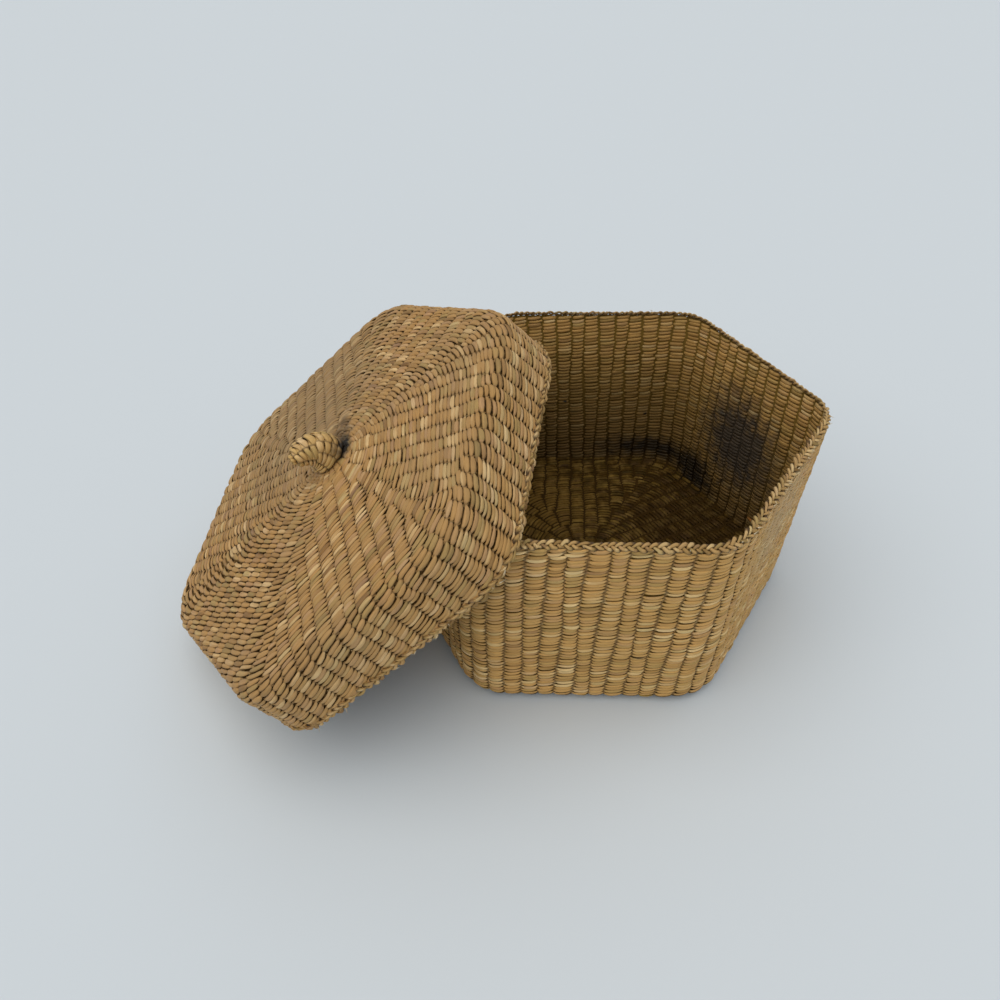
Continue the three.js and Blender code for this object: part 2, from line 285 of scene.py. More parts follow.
# %% Points of the fabric
def fabric_at(bowl, stop, way):
    """Points of the fabric at places on the way round, counted in sides, and its directions."""
    side = np.floor(way)
    straight = stop.radius - 2 * stop.corner * math.tan(HALF)
    along = (way - side - 0.5) * (straight + 2 * stop.corner * HALF)
    past = np.maximum(np.abs(along) - straight / 2, 0) * np.sign(along)
    swing = past / stop.corner
    across = along - past + stop.corner * np.sin(swing)
    reach = stop.radius * APOTHEM - stop.corner * (1 - np.cos(swing))
    facing = (2 * side + 1) * HALF + stop.turn
    flat = np.stack([
        reach * np.cos(facing) - across * np.sin(facing) + stop.shift,
        reach * np.sin(facing) + across * np.cos(facing),
    ], axis=1)
    flat = bowl.centre + (flat - bowl.centre) * stop.share
    height = stop.height * stop.share + (FABRIC / 2 - bowl.sag) * (1 - stop.share)
    points = np.column_stack([flat, np.full(len(way), height)])
    level = np.column_stack([np.cos(facing + swing), np.sin(facing + swing), np.zeros(len(way))])
    upright = np.array([0, 0, 1])
    out = level * math.cos(stop.angle) - upright * math.sin(stop.angle)
    up = level * math.sin(stop.angle) + upright * math.cos(stop.angle)
    return points, out, up


for bowl in (basket_bowl, lid_bowl):
    middle, _, _ = fabric_at(bowl, stop_on_the_way(bowl, 120), np.array([0.5]))
    print("fabric 120 mm from the hub", middle.round(1))

# %% [markdown]
# ## Where a row meets the stakes
#
# The six stoutest stakes run from the hub to the corners. The others stand square to their side
# and begin on those ridges, so a short row near the hub crosses few stakes and a row at the foot
# crosses all of them. On the wall they lean a little, as hand-woven stakes do. Close round the
# hub the stakes are gathered and split, and there the stitches are small and stand like rays.

# %% Crossings of a row
HUB_RADIUS = 15
HUB_STAKES = 20
AT_THE_FOOT = 90  # millimetres from the hub, where the fabric has turned up
SHORTEST_SPACING = 3.4  # a stake ends where it would come this close to its ridge


def crossings(bowl, stop):
    """Places on the way round, counted in sides, where a row meets a stake."""
    if stop.share >= 1:
        foot = bowl.rounding - FABRIC / 2
        climb = max(stop.height - foot, 0) / (bowl.wall_top - foot)
        return np.arange(SIDES * bowl.stakes) / bowl.stakes + bowl.slant * climb
    if stop.share * stop.radius < HUB_RADIUS:
        return np.arange(HUB_STAKES) * SIDES / HUB_STAKES
    edge = stop_on_the_way(bowl, AT_THE_FOOT)
    edge.share = 1
    straight = stop.radius - 2 * stop.corner * math.tan(HALF)
    length = straight + 2 * stop.corner * HALF
    marks = []
    for side in range(SIDES):
        facing = (2 * side + 1) * HALF + edge.turn
        sideways = [-math.sin(facing), math.cos(facing)]
        off = float(bowl.centre @ sideways)
        stakes, _, _ = fabric_at(bowl, edge, side + np.arange(bowl.stakes + 1) / bowl.stakes)
        marks.append(float(side))
        for wanted in off + ((stakes[:, :2] @ sideways)[1:-1] - off) / stop.share:
            past = max(abs(wanted) - straight / 2, 0)
            if past >= stop.corner * math.sin(HALF):
                continue
            run = abs(wanted) - past + stop.corner * math.asin(past / stop.corner)
            if (length / 2 - run) * stop.share > SHORTEST_SPACING:
                marks.append(side + 0.5 + math.copysign(run / length, wanted))
    return np.array(marks)


for run in (12, 30, 60, 80, 120):
    met = crossings(lid_bowl, stop_on_the_way(lid_bowl, run))
    print("stakes met", run, "mm from the hub:", len(met))

# %% Crossings by hand
def wandering(marks, run):
    """The same crossings by hand: no stake keeps an even distance from the next."""
    return marks + 0.010 * np.sin(marks * 29 + run * 0.05) + 0.005 * np.sin(marks * 61 - run * 0.09)


regular = np.arange(4) / basket_bowl.stakes
print("four stakes, in sides", regular.round(3), "and by hand", wandering(regular, 120).round(3))

# %% [markdown]
# ## Twining a row
#
# Twining is done with two strands. Each passes outside one stake and inside the next, and they
# change places between, always with the same turn of the wrist. Seen along the row each strand is
# therefore a long screw, half a turn to a stake, and the rows look like leaning leaves. A tube
# swept along a curve makes such a strand well: the curve's points carry the screw, its radius
# narrows where the strand dives between two stakes, and its tilt keeps the flat side out.
#
# Each point also remembers how far along the strand it is, how light its stitch is and how deep
# it lies between the stakes. The materials use these later. A blade of grass lasts for several
# stitches, so its tone does too.

# %% Tone of each stitch
chance = np.random.default_rng(917)
SHORT_BLADE, LONG_BLADE = 7, 21  # stitches that one blade of grass lasts for


def grass_tones(stitches):
    """Tone of each stitch: mostly that of its blade of grass, and a little of its own."""
    blades = chance.integers(SHORT_BLADE, LONG_BLADE + 1, stitches // SHORT_BLADE + 1)
    blade = np.repeat(chance.random(len(blades)), blades)[:stitches]
    return 0.62 * blade + 0.38 * chance.random(stitches)


print("blades of", SHORT_BLADE, "to", LONG_BLADE, "stitches")

# %% [markdown]
# ## One row
#
# A cosine carries each strand from one side of the stakes to the other, and a strand that begins
# half a turn later fills the places that the first leaves. Raised to a power below one, the cosine
# lies flat on the stake and dives steeply beside it. The stitches differ a little, as they do by
# hand: in how far they stand out, in height and in thickness.

# %% A row of twining
STEPS = 6  # points from one stake to the next
UNEVEN = np.array([[0.12], [0.14], [0.12]])  # how much stitches differ outwards, upwards and in size
INSIDE_POINTED, INSIDE_FLAT = 0.2, 0.3  # on the inside the stitches close up
FAR_ALONG = 900  # millimetres; each strand starts elsewhere in the grain, so no two look the same


def twine(rows, where, run, marks, weave):
    """Adds to rows the strands of one row; where gives points and directions at places round."""
    count = len(marks)
    rounds = 1 if count % 2 == 0 else 2  # an odd row is one strand that goes round twice
    for phase in range(3 - rounds):
        stake = np.arange(count * rounds * STEPS) / STEPS
        around = np.interp(stake % count, np.arange(count + 1), np.append(marks, marks[0] + SIDES))
        points, out, up, angle = where(run, around)
        swing = np.cos(np.pi * (stake + phase)) + weave.longer
        reach = np.minimum(np.abs(swing), 1)
        leaf = reach ** np.where(swing > 0, weave.pointed, INSIDE_POINTED)
        swing = np.sign(swing) * reach ** np.where(swing > 0, weave.flat, INSIDE_FLAT)
        belly = np.abs(swing)
        stitch = np.round(stake).astype(int) % (count * rounds)
        uneven = chance.normal(0, 1, (3, count * rounds))[:, stitch]
        outer, higher, thicker = UNEVEN * uneven * belly
        points = points + out * (swing * weave.depth * (1 + outer))[:, None]
        turn = np.arcsin(np.sin(np.pi * (stake + phase))) * 2 / np.pi
        sway = np.sin(around * 2.1 + run * 0.11) + np.sin(around * 5.3 - run * 0.07)
        lift = weave.slant * turn + weave.sway * sway + higher - weave.smile * (belly - 0.5)
        points = points + up * lift[:, None]
        step = np.linalg.norm(np.roll(points, -1, axis=0) - points, axis=1)
        rows.append(SimpleNamespace(
            points=points,
            tilt=np.full(len(stake), angle),
            radius=(weave.narrow + (1 - weave.narrow) * leaf) * (1 + thicker),
            along=np.cumsum(step) + chance.uniform(0, FAR_ALONG),
            tone=grass_tones(count * rounds)[stitch],
            dip=1 - belly,
        ))


print("points on a stitch", STEPS)

# %% [markdown]
# ## From rows to a mesh
#
# All the strands of a band become one curve object, and Blender sweeps a flat six-sided outline
# along them. The swept mesh keeps the order of the curve's points, so what each point remembers
# can be written to its ring of six corners.

# %% Outline of a strand
CORNERS = 6  # of a strand's outline


def section(name, thick, wide):
    """Outline of a strand: flat and six-sided, with its two edges pointed."""
    outline = bpy.data.curves.new(name, "CURVE")
    outline.dimensions = "2D"
    ring = outline.splines.new("POLY")
    ring.points.add(CORNERS - 1)
    for i, point in enumerate(ring.points):
        turn = -2 * math.pi * (i + 0.5) / CORNERS
        point.co = (thick * math.cos(turn), wide * math.sin(turn), 0, 1)
    ring.use_cyclic_u = True
    return bpy.data.objects.new(name, outline)


print("outline of a strand has", CORNERS, "corners")

# %% What a point remembers
def remember(mesh, rows, thick, wide):
    """Gives each point of the mesh its place on the strand and what its stitch is like."""
    turn = -2 * np.pi * (np.arange(CORNERS) + 0.5) / CORNERS
    rings = sum(len(row.points) for row in rows)
    spare = np.zeros(len(mesh.vertices) - rings * CORNERS)  # corners of the caps

    def gather(field):
        return np.repeat(np.concatenate([getattr(row, field) for row in rows]), CORNERS)

    outward = np.tile(thick * np.cos(turn), rings)
    sideways = np.tile(wide * np.sin(turn), rings)
    edge = np.tile(np.abs(np.sin(turn)), rings)
    for name, columns in (
        ("strand", [gather("along"), outward, sideways]),
        ("stitch", [gather("tone"), gather("dip"), edge]),
    ):
        values = np.stack([np.concatenate([column, spare]) for column in columns], axis=1)
        attribute = mesh.attributes.new(name, "FLOAT_VECTOR", "POINT")
        attribute.data.foreach_set("vector", values.astype(np.float32).ravel())


print("strand remembers along, outward, sideways; stitch remembers tone, dip, edge")

# %% Sweep the strands
def sweep(name, rows, thick, wide, closed=True):
    """One mesh of all the strands in rows, in millimetres."""
    shape = section(name + "_section", thick, wide)
    curve = bpy.data.curves.new(name, "CURVE")
    curve.dimensions = "3D"
    curve.twist_mode = "Z_UP"
    curve.bevel_mode = "OBJECT"
    curve.bevel_object = shape
    curve.use_fill_caps = not closed
    for row in rows:
        strand = curve.splines.new("POLY")
        strand.points.add(len(row.points) - 1)
        places = np.column_stack([row.points, np.ones(len(row.points))])
        strand.points.foreach_set("co", places.ravel())
        strand.points.foreach_set("tilt", row.tilt)
        strand.points.foreach_set("radius", row.radius)
        strand.use_cyclic_u = closed
    swept = bpy.data.objects.new(name, curve)
    bpy.context.scene.collection.objects.link(swept)
    bpy.context.view_layer.update()
    mesh = bpy.data.meshes.new_from_object(swept.evaluated_get(bpy.context.evaluated_depsgraph_get()))
    bpy.data.objects.remove(swept)
    bpy.data.curves.remove(curve)
    bpy.data.objects.remove(shape)
    remember(mesh, rows, thick, wide)
    mesh.shade_smooth()
    piece = bpy.data.objects.new(name, mesh)
    mesh.name = name
    bpy.context.scene.collection.objects.link(piece)
    return piece


print("each point of a strand becomes a ring of", CORNERS)

# %% [markdown]
# ## Weaving the bowls
#
# A bowl is woven from the hub outwards, a row beside a row, at the spacing that the photograph
# shows, about two millimetres. A weave is described by a few numbers: how far a strand stands out
# over a stake, how flat and how pointed its stitch is, how much it leans and bends, and how thick
# and wide the strand is.

# %% Weaves
basket_weave = SimpleNamespace(
    depth=0.85, flat=0.45, pointed=0.55, longer=0.06, slant=0.45, smile=0.4, sway=0.3, narrow=0.28,
    thick=0.5, wide=1.02,
)
lid_weave = SimpleNamespace(
    depth=0.85, flat=0.55, pointed=0.65, longer=0.2, slant=0.9, smile=-0.55, sway=0.3, narrow=0.26,
    thick=0.54, wide=1.18,
)
skirt_weave = SimpleNamespace(
    depth=0.85, flat=0.6, pointed=0.8, longer=0.2, slant=1.05, smile=-0.5, sway=0.3, narrow=0.22,
    thick=0.54, wide=1.06,
)
for weave in (basket_weave, lid_weave, skirt_weave):
    print("strand", 2 * weave.thick, "by", 2 * weave.wide, "mm")

# %% Rows of a bowl
STAKES_OFF = 0.0035  # of a side, by which a stake is missed at random
ROWS_OFF = 0.07  # millimetres


def bowl_surface(bowl):
    """A function that gives the points and directions of a bowl's fabric."""
    def where(run, way):
        stop = stop_on_the_way(bowl, run)
        return (*fabric_at(bowl, stop, way), stop.angle)

    return where


def weave_band(bowl, runs, weave):
    """Strands of the rows at the distances in runs from the hub."""
    rows = []
    for run in runs:
        marks = wandering(crossings(bowl, stop_on_the_way(bowl, run)), run)
        marks = marks + chance.normal(0, STAKES_OFF, len(marks))
        twine(rows, bowl_surface(bowl), run + chance.normal(0, ROWS_OFF), marks, weave)
    return rows


print("rows wander by", ROWS_OFF, "mm")

# %% Places of the rows
FIRST_ROW = 5.0


def whole_run(bowl):
    """Distance from the hub to the top row, along the middle of a side."""
    run = 60
    while stop_on_the_way(bowl, run).height < bowl.wall_top + SEAT_GAP:
        run += 0.1
    return run


def row_places(bowl, crown_pitch, wall_pitch):
    """Rows from the hub outwards: close together at first, full size on the floor, finer on the wall."""
    whole = whole_run(bowl)
    runs = [FIRST_ROW]
    while runs[-1] < whole:
        full = min(max((runs[-1] - 10) / 25, 0), 1)  # rises between 10 and 35 mm from the hub
        down = min(max((runs[-1] - 75) / 15, 0), 1)  # rises between 75 and 90 mm, round the foot
        pitch = crown_pitch + (wall_pitch - crown_pitch) * down
        runs.append(runs[-1] + pitch * (0.72 + 0.28 * full))
    runs = np.array(runs[:-1])
    # stretched a little, so that the last row meets the rim
    return runs + (whole - runs[-1]) * (runs / runs[-1])


basket_rows = row_places(basket_bowl, 1.95, 1.85)
lid_rows = row_places(lid_bowl, 2.1, 1.82)
print("rows", len(basket_rows), len(lid_rows))

# %% [markdown]
# ## Weaving both
#
# The rows are shared out to bands, each one piece of a size that is easy to handle. The lid's crown
# has broader strands than its skirt, as on the real one, where the weaver pulled the skirt tighter.

# %% Weave the basket and the lid
BASKET_BANDS = ("floor_middle", "floor_edge", "foot", "low_wall", "middle_wall", "top_wall")
BASKET_ENDS = (60, 84, 108, 131, 154)  # millimetres from the hub
LID_BANDS = ("hub", "crown", "skirt")
LID_ENDS = (60, 90)


def bands(rows, names, ends):
    """Rows shared out to named bands; each band but the last ends at a distance from the hub."""
    return dict(zip(names, np.split(rows, np.searchsorted(rows, ends))))


twined = {}
for part, runs in bands(basket_rows, BASKET_BANDS, BASKET_ENDS).items():
    name = f"basket_{part}_twining"
    strands = weave_band(basket_bowl, runs, basket_weave)
    twined[name] = sweep(name, strands, basket_weave.thick, basket_weave.wide)
for part, runs in bands(lid_rows, LID_BANDS, LID_ENDS).items():
    name = f"lid_{part}_twining"
    weave = skirt_weave if part == "skirt" else lid_weave
    twined[name] = sweep(name, weave_band(lid_bowl, runs, weave), weave.thick, weave.wide)
for name, piece in twined.items():
    print(name, 2 * len(piece.data.polygons), "triangles")

# %% [markdown]
# ## What closes the gaps
#
# On the basket the two strands squeeze each other flat where they change places, and fibres fill
# what is left, so hardly any light comes through. The swept tubes don't squeeze. A thin dark layer
# in the middle of the fabric stands for the squeezed parts, and its dark colour is painted shade in
# the gaps between the strands: it is one ring of edges, extruded from the hub over the floor and up
# the wall, with each new ring moved onto the fabric.

# %% Squeezed middle of the fabric
SIDE_POINTS = 32
LAYER = 0.4  # millimetres thick


def squeezed_shaded_middle(name, bowl, top):
    """Thin closed layer in the middle of the fabric, from the hub to the distance top."""
    layer = bmesh.new()
    place = layer.verts.layers.int.new("place")
    count = SIDES * SIDE_POINTS
    way = np.arange(count) * SIDES / count
    bmesh.ops.create_circle(layer, segments=count, radius=1, cap_ends=False)
    layer.verts.ensure_lookup_table()
    for i, vert in enumerate(layer.verts):
        vert[place] = i
    ring, edges = layer.verts[:], layer.edges[:]
    bend = bowl.foot_radius * APOTHEM
    # the rings are closest where the foot bends
    runs = [1, 12, 25, 40, 60, *np.linspace(bend - 7, bend + 5, 7), *np.linspace(bend + 12, top, 4)]
    for i, run in enumerate(runs):
        if i:
            grown = bmesh.ops.extrude_edge_only(layer, edges=edges)["geom"]
            ring = [part for part in grown if isinstance(part, bmesh.types.BMVert)]
            edges = [part for part in grown if isinstance(part, bmesh.types.BMEdge)]
        spots, _, _ = fabric_at(bowl, stop_on_the_way(bowl, run), way)
        for vert in ring:
            vert.co = spots[vert[place]]
    bmesh.ops.recalc_face_normals(layer, faces=layer.faces)
    bmesh.ops.solidify(layer, geom=layer.faces[:], thickness=LAYER)
    mesh = bpy.data.meshes.new(name)
    layer.to_mesh(mesh)
    layer.free()
    mesh.shade_smooth()
    piece = bpy.data.objects.new(name, mesh)
    bpy.context.scene.collection.objects.link(piece)
    return piece


# both layers are dark: painted shade seen through the gaps between the strands
basket_middle = squeezed_shaded_middle("basket_squeezed_middle", basket_bowl, whole_run(basket_bowl) + 1)
lid_middle = squeezed_shaded_middle("lid_squeezed_middle", lid_bowl, whole_run(lid_bowl) + 1)
print("middles", 2 * len(basket_middle.data.polygons), 2 * len(lid_middle.data.polygons), "triangles")

# %% [markdown]
# ## Plaited rims
#
# The stake ends are turned down at the rim and plaited, three strands over and under each other.
# In a plait each strand swings from edge to edge once while it rises and sinks twice, and the
# three are a third of a swing apart. The same sweep makes them.

# %% Line of a rim
def rim_points(bowl, way):
    """Points and directions in the middle of the rim."""
    line = stop_on_the_way(bowl, 60)
    line.share, line.height, line.angle = 1, bowl.plait_height, 0
    line.radius, line.corner, line.turn, line.shift = bowl.rim_radius, bowl.rim_corner, 0, bowl.shift
    return fabric_at(bowl, line, way)


print("rim's first point", rim_points(basket_bowl, np.array([0.0]))[0].round(1))

# %% Plait
PLAIT_STEPS = 14  # points on one swing
COARSEST = 5.45  # place on the way round where it is plaited most coarsely, at the right


def plait(bowl, swings, lean, width=1.2, proud=0, low=0, coarse=0):
    """Three strands that swing to and fro; proud and low move the plait outwards and onto the rows."""
    rows = []
    steps = swings * PLAIT_STEPS
    way = np.arange(steps) * SIDES / steps
    middle, out, up = rim_points(bowl, way)
    middle = middle + out * proud - up * low
    wide = up * math.cos(lean) - out * math.sin(lean)
    thick = out * math.cos(lean) + up * math.sin(lean)
    swell = 1 + coarse * np.exp(-(((way - COARSEST) / 0.4) ** 2))
    # no hand pulls evenly
    pull = 0.09 * np.sin(way * 9) + 0.07 * np.sin(way * 23 + 1) + 0.05 * np.sin(way * 41 + 2)
    for third in range(3):
        turn = 2 * np.pi * (np.arange(steps) * swings / steps + third / 3 + pull)
        stitch = np.floor(turn / (2 * np.pi) * 3).astype(int) % (swings * 3)
        bump = chance.normal(0, 1, swings * 3)[stitch]
        points = middle + wide * (width * np.sin(turn) * (1 + 0.18 * bump) * swell)[:, None]
        points = points + thick * (0.5 * np.sin(2 * turn) + 0.12 * bump)[:, None]
        step = np.linalg.norm(np.roll(points, -1, axis=0) - points, axis=1)
        rows.append(SimpleNamespace(
            points=points,
            tilt=np.full(steps, -lean),
            radius=(0.9 + 0.13 * bump - 0.14 * np.cos(2 * turn)) * swell**0.6,
            along=np.cumsum(step) + FAR_ALONG / 3 * third,
            tone=chance.random(swings * 3)[stitch],
            dip=0.44 - 0.44 * np.sin(2 * turn),
        ))
    return rows


print("points on a plait of 60 swings", 3 * 60 * PLAIT_STEPS)

# %% Plait both rims
basket_strands = plait(basket_bowl, 66, math.radians(50), coarse=0.4)
basket_plait = sweep("basket_rim_plaiting", basket_strands, 0.5, 0.7)
lid_strands = plait(lid_bowl, 60, math.radians(20), width=1.5, proud=0.7, low=0.7)
lid_plait = sweep("lid_rim_plaiting", lid_strands, 0.6, 0.92)
for piece in (basket_plait, lid_plait):
    print(piece.name, 2 * len(piece.data.polygons), "triangles")

# %% [markdown]
# ## Loose fibres
#
# Where the stake ends were cut, and where hands take hold, fibres stand out of the plaits. They
# are single hairs of grass a few millimetres long, curled a little, most of them on the lid's
# lower edge and on the right of the basket. The same sweep makes them, as open strands that
# narrow to a point.

# %% Loose fibres
FIBRE_POINTS = 6


def loose_fibres(bowl, count, about, spread, longest):
    """Fibres that stand out of a plait, most of them about one place on the way round."""
    rows = []
    start, out, up = rim_points(bowl, (about + chance.normal(0, spread, count)) % SIDES)
    for i in range(count):
        round_rim = np.cross(up[i], out[i])
        length = longest * (0.35 + 0.65 * chance.random())
        turn, curl = chance.uniform(-0.4, 1.3), chance.normal(0, 0.25)
        heading = out[i] * math.cos(turn) + up[i] * math.sin(turn) + round_rim * chance.normal(0, 0.9)
        heading = heading / np.linalg.norm(heading)
        run = np.linspace(0, 1, FIBRE_POINTS)
        points = start[i] + out[i] * 1.2 + up[i] * chance.uniform(-1, 1)
        points = points + np.outer(run * length, heading) + np.outer(run**2 * length * curl, round_rim)
        rows.append(SimpleNamespace(
            points=points,
            tilt=np.zeros(FIBRE_POINTS),
            radius=1.05 - run,
            along=run * length,
            tone=np.full(FIBRE_POINTS, 0.75 + 0.25 * chance.random()),
            dip=np.zeros(FIBRE_POINTS),
        ))
    return rows


basket_fibres = loose_fibres(basket_bowl, 16, about=5.5, spread=0.3, longest=2.6)
basket_fibres += loose_fibres(basket_bowl, 12, about=2.0, spread=2.0, longest=1.5)
lid_fibres = loose_fibres(lid_bowl, 14, about=1.35, spread=0.22, longest=2.8)
lid_fibres += loose_fibres(lid_bowl, 12, about=4.0, spread=2.0, longest=1.6)
basket_hairs = sweep("basket_loose_fibres", basket_fibres, 0.16, 0.22, closed=False)
lid_hairs = sweep("lid_loose_fibres", lid_fibres, 0.16, 0.22, closed=False)
print("fibres", len(basket_fibres), len(lid_fibres))

# %% [markdown]
# ## The knob
#
# The knob is the gathered stake ends, wrapped with the same twining. It stands on the hub and has
# bent over with use. It is easiest to twine it upright, row over row on a bulb, and then to bend
# the finished mesh along an arc.

# %% Knob
KNOB_RADIUS = 8.5
KNOB_TIP_RADIUS = 3.8
KNOB_LENGTH = 18
KNOB_LEAN = math.radians(70)
KNOB_BEARING = math.radians(205)
STRAND_DEPTH = 0.9  # from the knob's surface to the middle of its strands


def knob_radius(share):
    """Radius at a share of the knob's length: a belly low down, and a round end."""
    belly = np.sin(np.pi * np.minimum(share * 1.3, 1)) * 0.5
    end = np.sqrt(np.maximum(1 - (np.maximum(share - 0.8, 0) / 0.2) ** 2, 0.04))
    return (KNOB_RADIUS + (KNOB_TIP_RADIUS - KNOB_RADIUS) * share**1.2 + belly) * end


def knob_surface(run, way):
    """Points and directions on the upright knob, run millimetres above the crown."""
    turn = way * 2 * np.pi / SIDES
    level = np.column_stack([np.cos(turn), np.sin(turn), np.zeros(len(way))])
    upright = np.tile([0.0, 0.0, 1.0], (len(way), 1))
    radius = knob_radius(run / KNOB_LENGTH) - STRAND_DEPTH
    return level * radius + upright * run, level, upright, 0


print("knob's radius at its foot, middle and tip", knob_radius(np.array([0, 0.5, 1])).round(1))

# %% Bend the knob
BEND_STEPS = 100


def bend_over(points):
    """Bends upright points along the arc of the knob's axis."""
    fine = np.linspace(0, 1, BEND_STEPS + 1)
    ease = np.clip(fine / 0.85, 0, 1)
    lean = KNOB_LEAN * ease**2 * (3 - 2 * ease)
    step = KNOB_LENGTH / BEND_STEPS
    forward = np.concatenate([[0], np.cumsum(np.sin(lean[1:]) * step)])
    height = np.concatenate([[0], np.cumsum(np.cos(lean[1:]) * step)])
    share = points[:, 2] / KNOB_LENGTH
    angle = np.interp(share, fine, lean)
    over = np.array([math.cos(KNOB_BEARING), math.sin(KNOB_BEARING), 0])
    across = np.array([-over[1], over[0], 0])
    ahead = points @ over
    bent = np.outer(points @ across, across)
    bent += np.outer(np.interp(share, fine, forward) + ahead * np.cos(angle), over)
    past = (np.maximum(share - 1, 0) + np.minimum(share, 0)) * KNOB_LENGTH
    bent[:, 2] += np.interp(share, fine, height) - ahead * np.sin(angle) + past
    return bent


print("knob's tip after bending", bend_over(np.array([[0, 0, KNOB_LENGTH]]))[0].round(1))

# %% Twine the knob
KNOB_PITCH = 2.05
knob_weave = SimpleNamespace(
    depth=0.5, flat=0.6, pointed=0.7, longer=0.1, slant=0.5, smile=0.2, sway=0.1, narrow=0.45,
    thick=0.6, wide=1.1,
)
knob_rows = []
for run in np.arange(1.0, 17.6, KNOB_PITCH):
    stakes_left = 9 if run < 8 else 6  # the knob narrows, and some stakes end inside it
    twine(knob_rows, knob_surface, run, np.arange(stakes_left) * SIDES / stakes_left, knob_weave)
knob = sweep("knob_twining", knob_rows, knob_weave.thick, knob_weave.wide)
spots = np.zeros(len(knob.data.vertices) * 3, np.float32)
knob.data.vertices.foreach_get("co", spots)
spots = bend_over(spots.reshape(-1, 3).astype(float))
knob.data.vertices.foreach_set("co", spots.astype(np.float32).ravel())
print("knob", 2 * len(knob.data.polygons), "triangles")

# %% [markdown]
# ## Putting the lid where it leans
#
# The lid's weave was laid flat and upside down. One matrix turns it over, lifts it to its depth,
# and takes it to the place where it leans on the basket. The knob was made upright, so it is set
# on the crown first. The place goes into the mesh, and the object stays at the origin.

# %% Where the lid leans
LEAN_CROSSING = 31.4  # how far left of the front side's middle the two rims cross
LEAN_RUN = 127.2  # from that crossing out to the corner on the table
LEAN_ACROSS = -70.7  # and sideways
LEAN_GAP = 0.6 * PLAIT_RADIUS  # from the crossing square to the plane of the lid's rim
LEAN_BEARING = math.radians(197.5)  # direction that the lid slopes down to
LEAN_SPIN = math.radians(182.2)  # turn about the lid's own axis
TABLE_GAP = 0.05  # under the corner that stands on the table


def lid_matrix():
    """Takes a lid that lies level to the place where it leans on the basket."""
    rise = PLAIT_HEIGHT - PLAIT_RADIUS - TABLE_GAP
    tilt = math.atan2(rise, LEAN_RUN) + math.asin(LEAN_GAP / math.hypot(rise, LEAN_RUN))
    lean = Matrix.Rotation(LEAN_BEARING, 4, "Z") @ Matrix.Rotation(tilt, 4, "Y")
    lean = lean @ Matrix.Rotation(LEAN_SPIN, 4, "Z")
    down = Vector((math.cos(LEAN_BEARING), math.sin(LEAN_BEARING), 0))
    sideways = Vector((-down.y, down.x, 0))
    crossing = Vector((RIM_SHIFT - LEAN_CROSSING, -RIM_RADIUS * APOTHEM, PLAIT_HEIGHT))
    foot = crossing + down * LEAN_RUN + sideways * LEAN_ACROSS
    foot.z -= rise
    slide = down * math.cos(tilt) - Vector((0, 0, math.sin(tilt)))
    corner = lean @ Vector((LID_CORNER / APOTHEM - LID_RADIUS, 0, 0))
    return Matrix.Translation(foot - slide * LID_CORNER - corner) @ lean


print("middle of the lid's mouth", [round(v, 1) for v in lid_matrix().translation], "mm")

# %% Place the pieces
MILLIMETRE = 0.001


def place(piece, matrix):
    """Puts the place into the mesh, and turns its millimetres into metres."""
    piece.data.transform(Matrix.Scale(MILLIMETRE, 4) @ matrix)
    piece.data.update()


turned_over = Matrix.Translation((0, 0, SKIRT_DEPTH)) @ Matrix.Rotation(math.pi, 4, "X")
on_the_crown = Matrix.Translation((*CROWN_CENTRE, SKIRT_DEPTH + CROWN_RISE))
for name, piece in twined.items():
    place(piece, lid_matrix() @ turned_over if name.startswith("lid") else Matrix.Identity(4))
for piece in (lid_plait, lid_middle, lid_hairs):
    place(piece, lid_matrix() @ turned_over)
for piece in (basket_plait, basket_middle, basket_hairs):
    place(piece, Matrix.Identity(4))
place(knob, lid_matrix() @ on_the_crown)
for piece in (twined["lid_skirt_twining"], knob):
    corners = (piece.bound_box[0], piece.bound_box[6])
    print(piece.name, [[round(v * 1000, 1) for v in corner] for corner in corners])

# %% [markdown]
# ## Tints and surface
#
# Seagrass dries to a warm straw colour, and light, dust and hands tint it. Nearly all of a material's
# colour is made by mixing in a tint where some value is high: the height over the table, a noise,
# or the distance from one place. One function does that, and a second one joins the colour, the
# roughness and the relief to the shader.

# %% Tints and surface
def tinted(tree, colour, tint, value, bare, full, amount=1.0, only=None):
    """Mixes tint into colour, from none where value is bare to amount where it is full."""
    reach = {"Value": value, "From Min": bare, "From Max": full, "To Max": amount}
    share = add(tree, "MapRange", reach).outputs[0]
    if only:
        share = add(tree, "Math", {0: share, 1: only}, operation="MULTIPLY").outputs[0]
    return add(tree, "Mix", {0: share, 6: colour, 7: linear(tint)}, data_type="RGBA").outputs[2]


def surface(tree, colour, pattern, smooth, dull, relief, height, gloss):
    """Gives the shader its colour, and its roughness and relief from the pattern of the fibres."""
    shader = tree.nodes["Principled BSDF"]
    rough = add(tree, "MapRange", {"Value": pattern, "To Min": smooth, "To Max": dull}).outputs[0]
    bump = add(tree, "Bump", {"Height": pattern, "Strength": relief, "Distance": height}).outputs["Normal"]
    for socket, value in (("Base Color", colour), ("Roughness", rough), ("Normal", bump)):
        tree.links.new(value, shader.inputs[socket])
    shader.inputs["Specular IOR Level"].default_value = gloss


print("a dark tint", [round(v, 3) for v in linear("#36220b")[:3]])

# %% [markdown]
# ## Marks of use and painted shade
#
# A mark is a tint round one place. Its middle and its reach along x, y and z are in millimetres,
# and a noise makes its edge ragged. The marks are those the basket shows: a stain inside, dirt and
# painted shade in the crease of the floor, dust on the floor, a faded wall, a far side of the lid
# that is partly faded and partly painted shade, and painted shade in small holes, in a gap between
# two rows of the front wall and in the dark hollow where the knob has bent away.

# %% Marks
RAGGED = 260.0  # per metre, so an edge is ragged every 4 mm


